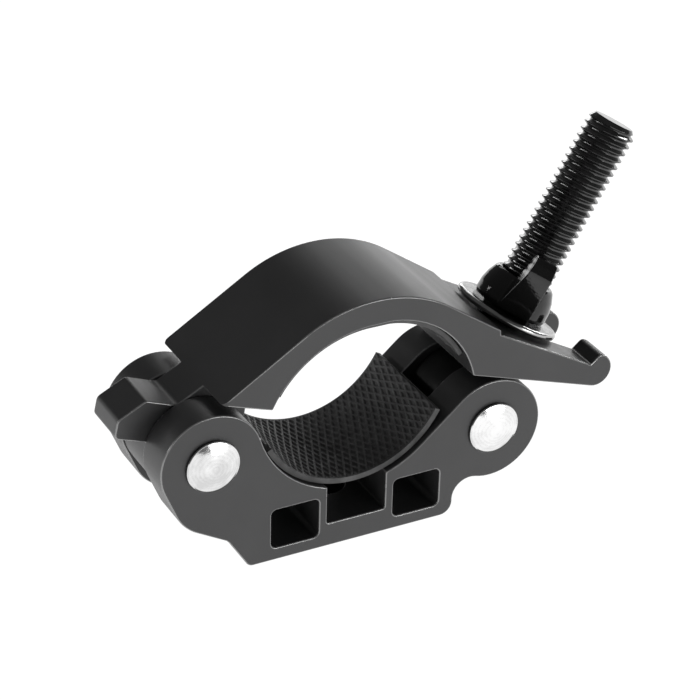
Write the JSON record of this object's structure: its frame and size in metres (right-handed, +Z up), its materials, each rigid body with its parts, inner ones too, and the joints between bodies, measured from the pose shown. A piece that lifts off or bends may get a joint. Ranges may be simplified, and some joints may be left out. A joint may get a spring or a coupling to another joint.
{
  "type": "pipe clamp",
  "caption": "Hinged two-jaw pipe clamp with rubber linings, swing bolt, washer and wing nut, and a flat base with a bolt hole.",
  "frame": {"origin": "on the base's underside, below the middle of the clamp's length and width", "axes": "+X along the clamp from the hinge to the wing nut, +Y along the clamped tube, +Z up from the base"},
  "size_m": [0.1424, 0.0386, 0.0935],
  "materials": {
    "anodised": "black anodised, satin",
    "rubber": "knurled, matt",
    "zinc": "bright zinc plate",
    "black_steel": "black oxide, semi-gloss"
  },
  "bodies": {
    "jaw": {"lower_jaw": "anodised", "lower_pad": "rubber", "hinge_rivet": "zinc", "swing_rivet": "zinc"},
    "strap": {"upper_jaw": "anodised", "upper_pad": "rubber"},
    "bolt": {"swing_bolt": "black_steel"},
    "washer": {"washer": "zinc"},
    "nut": {"wing_nut": "black_steel"}
  },
  "joints": [
    {"name": "strap_hinge", "type": "hinge", "parent": "jaw", "child": "strap", "pos_m": [-0.0512, 0, 0.0313], "axis": [0, -1, 0], "range_deg": [0, 30]},
    {"name": "bolt_swing", "type": "hinge", "parent": "jaw", "child": "bolt", "pos_m": [0.0255, 0, 0.0223], "axis": [0, -1, 0], "range_deg": [0, 31.5]},
    {"name": "washer_slide", "type": "slide", "parent": "bolt", "child": "washer", "axis": [0.512, 0, 0.859], "range_m": [0, 0.04201]},
    {"name": "nut_spin", "type": "hinge", "parent": "washer", "child": "nut", "pos_m": [0.0255, 0, 0.0223], "axis": [0.512, 0, 0.859], "range_deg": [0, 7740]}
  ],
  "couplings": [
    {"joint": "strap_hinge", "follows": "nut_spin", "ratio": 0.003876},
    {"joint": "bolt_swing", "follows": "nut_spin", "ratio": 0.0040698},
    {"joint": "washer_slide", "follows": "nut_spin", "m_per_rad": 0.00031099}
  ]
}
